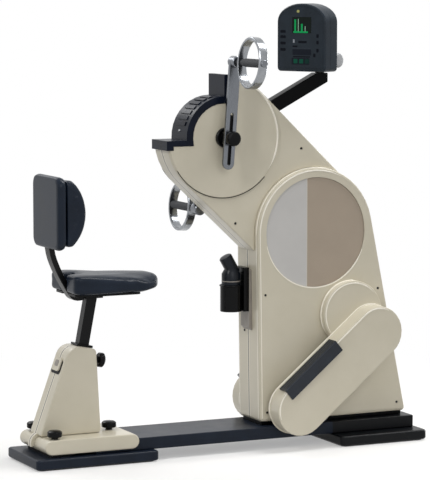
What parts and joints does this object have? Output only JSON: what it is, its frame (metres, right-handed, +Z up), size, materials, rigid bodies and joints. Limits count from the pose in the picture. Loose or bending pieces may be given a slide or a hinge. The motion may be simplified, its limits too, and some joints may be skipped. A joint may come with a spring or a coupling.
{
  "type": "arm ergometer",
  "caption": "Free-standing arm ergometer: hand cranks with ring handles drive a braked flywheel, with a sliding height-adjustable seat, footrests and a tilting console.",
  "frame": {"origin": "floor level under the centre of the whole machine's outline", "axes": "+Z up, +X from the seat towards the body, +Y to the far side, -Y to the side with the visible panel"},
  "size_m": [1.518, 0.6986, 1.6],
  "materials": {
    "rubber": "matte",
    "navy_paint": "semi-gloss",
    "black_plastic": "satin",
    "cream_shell": "semi-gloss",
    "panel": "satin",
    "slate_plastic": "satin",
    "steel": "machined",
    "chrome": "polished",
    "cast_iron": "turned",
    "grip": "matte",
    "lens": "glossy",
    "grey_plastic": "satin",
    "black_metal": "semi-gloss",
    "vinyl": "satin"
  },
  "bodies": {
    "base": {"rear_sole": "rubber", "main_sole": "rubber", "rear_plate": "navy_paint", "main_foot": "navy_paint", "rail_beam": "navy_paint", "plinth": "black_plastic", "body_shell_near": "cream_shell", "body_shell_far": "cream_shell", "side_panel_near": "panel", "side_panel_far": "panel", "power_inlet": "black_plastic", "neck_shell_near": "cream_shell", "neck_shell_far": "cream_shell", "quarter_cover": "slate_plastic", "frame_spine": "steel", "brake_yoke": "steel", "drive_belt": "rubber", "footrest_near": "cream_shell", "footrest_far": "cream_shell", "tread_pad_near": "slate_plastic", "tread_pad_far": "slate_plastic", "console_arm": "black_plastic", "bottle_plate": "grey_plastic", "bottle_holder": "black_plastic"},
    "crank_drive": {"crankshaft": "steel", "crank_hub_near": "black_plastic", "crank_hub_far": "black_plastic", "drive_pulley": "black_plastic"},
    "flywheel": {"flywheel": "cast_iron"},
    "near_arm": {"crank_arm_near": "chrome"},
    "far_arm": {"crank_arm_far": "chrome"},
    "near_clamp": {"clamp_knob_near": "black_plastic"},
    "far_clamp": {"clamp_knob_far": "black_plastic"},
    "near_handle": {"hand_ring_near": "chrome", "grip_near": "grip"},
    "far_handle": {"hand_ring_far": "chrome", "grip_far": "grip"},
    "swivel": {"swivel_post": "black_plastic"},
    "console": {"console_front": "slate_plastic", "console_back": "slate_plastic", "key_overlay": "slate_plastic", "display_lens": "lens"},
    "tilt_knob": {"tilt_knob": "grey_plastic"},
    "bottle": {"bottle": "black_plastic"},
    "carriage": {"carriage_saddle": "cream_shell", "carriage_frame": "steel", "glide_liner": "grey_plastic", "pedestal_shell_near": "cream_shell", "pedestal_shell_far": "cream_shell", "post_collar": "black_plastic"},
    "rear_knob_near": {"rear_knob_near": "black_plastic"},
    "rear_knob_far": {"rear_knob_far": "black_plastic"},
    "front_knob": {"front_knob": "black_plastic"},
    "height_knob": {"height_knob": "black_plastic"},
    "seat": {"seat_post": "black_metal", "seat_pan": "black_plastic", "seat_cushion": "vinyl", "back_bar": "black_metal", "backrest_board": "slate_plastic", "backrest_pad": "vinyl"}
  },
  "joints": [
    {"name": "crank_spin", "type": "hinge", "parent": "base", "child": "crank_drive", "pos_m": [-0.009, 0, 1.128], "axis": [0, 1, 0], "continuous": true},
    {"name": "flywheel_spin", "type": "hinge", "parent": "base", "child": "flywheel", "pos_m": [0.347, 0, 0.777], "axis": [0, 1, 0], "continuous": true},
    {"name": "near_arm_length", "type": "slide", "parent": "crank_drive", "child": "near_arm", "axis": [0.0732, 0, 0.9973], "range_m": [-0.06, 0.03]},
    {"name": "far_arm_length", "type": "slide", "parent": "crank_drive", "child": "far_arm", "axis": [-0.0732, 0, -0.9973], "range_m": [-0.06, 0.03]},
    {"name": "near_clamp_turn", "type": "hinge", "parent": "crank_drive", "child": "near_clamp", "pos_m": [-0.009, -0.135, 1.128], "axis": [0, 1, 0], "range_deg": [0, 360]},
    {"name": "far_clamp_turn", "type": "hinge", "parent": "crank_drive", "child": "far_clamp", "pos_m": [-0.009, 0.135, 1.128], "axis": [0, 1, 0], "range_deg": [-360, 0]},
    {"name": "near_handle_spin", "type": "hinge", "parent": "near_arm", "child": "near_handle", "pos_m": [0.01077, -0.252, 1.39727], "axis": [0, 1, 0], "continuous": true},
    {"name": "far_handle_spin", "type": "hinge", "parent": "far_arm", "child": "far_handle", "pos_m": [-0.02877, 0.252, 0.85873], "axis": [0, 1, 0], "continuous": true},
    {"name": "console_swivel", "type": "hinge", "parent": "base", "child": "swivel", "pos_m": [0.405, 0, 1.37], "axis": [0, 0, 1], "range_deg": [-65, 15]},
    {"name": "console_tilt", "type": "hinge", "parent": "swivel", "child": "console", "pos_m": [0.405, 0, 1.395], "axis": [0.4226, -0.9063, 0], "range_deg": [-25, 8]},
    {"name": "tilt_knob_turn", "type": "hinge", "parent": "console", "child": "tilt_knob", "pos_m": [0.405, 0, 1.395], "axis": [0.4226, -0.9063, 0], "range_deg": [0, 360]},
    {"name": "bottle_lift", "type": "slide", "parent": "base", "child": "bottle", "axis": [0, 0, 1], "range_m": [0, 0.07]},
    {"name": "carriage_slide", "type": "slide", "parent": "base", "child": "carriage", "axis": [1, 0, 0], "range_m": [-0.03, 0.12]},
    {"name": "rear_knob_near_turn", "type": "hinge", "parent": "carriage", "child": "rear_knob_near", "pos_m": [-0.675, -0.099, 0.115], "axis": [0, 0, 1], "range_deg": [0, 360]},
    {"name": "rear_knob_far_turn", "type": "hinge", "parent": "carriage", "child": "rear_knob_far", "pos_m": [-0.675, 0.099, 0.115], "axis": [0, 0, 1], "range_deg": [0, 360]},
    {"name": "front_knob_turn", "type": "hinge", "parent": "carriage", "child": "front_knob", "pos_m": [-0.43, 0, 0.115], "axis": [0, 0, 1], "range_deg": [0, 360]},
    {"name": "height_knob_turn", "type": "hinge", "parent": "carriage", "child": "height_knob", "pos_m": [-0.53994, 0, 0.36663], "axis": [0.982, 0, -0.1891], "range_deg": [0, 360]},
    {"name": "seat_height", "type": "slide", "parent": "carriage", "child": "seat", "axis": [0.1891, 0, 0.982], "range_m": [0, 0.12]}
  ],
  "couplings": [
    {"joint": "flywheel_spin", "follows": "crank_spin", "ratio": 3.1667}
  ]
}
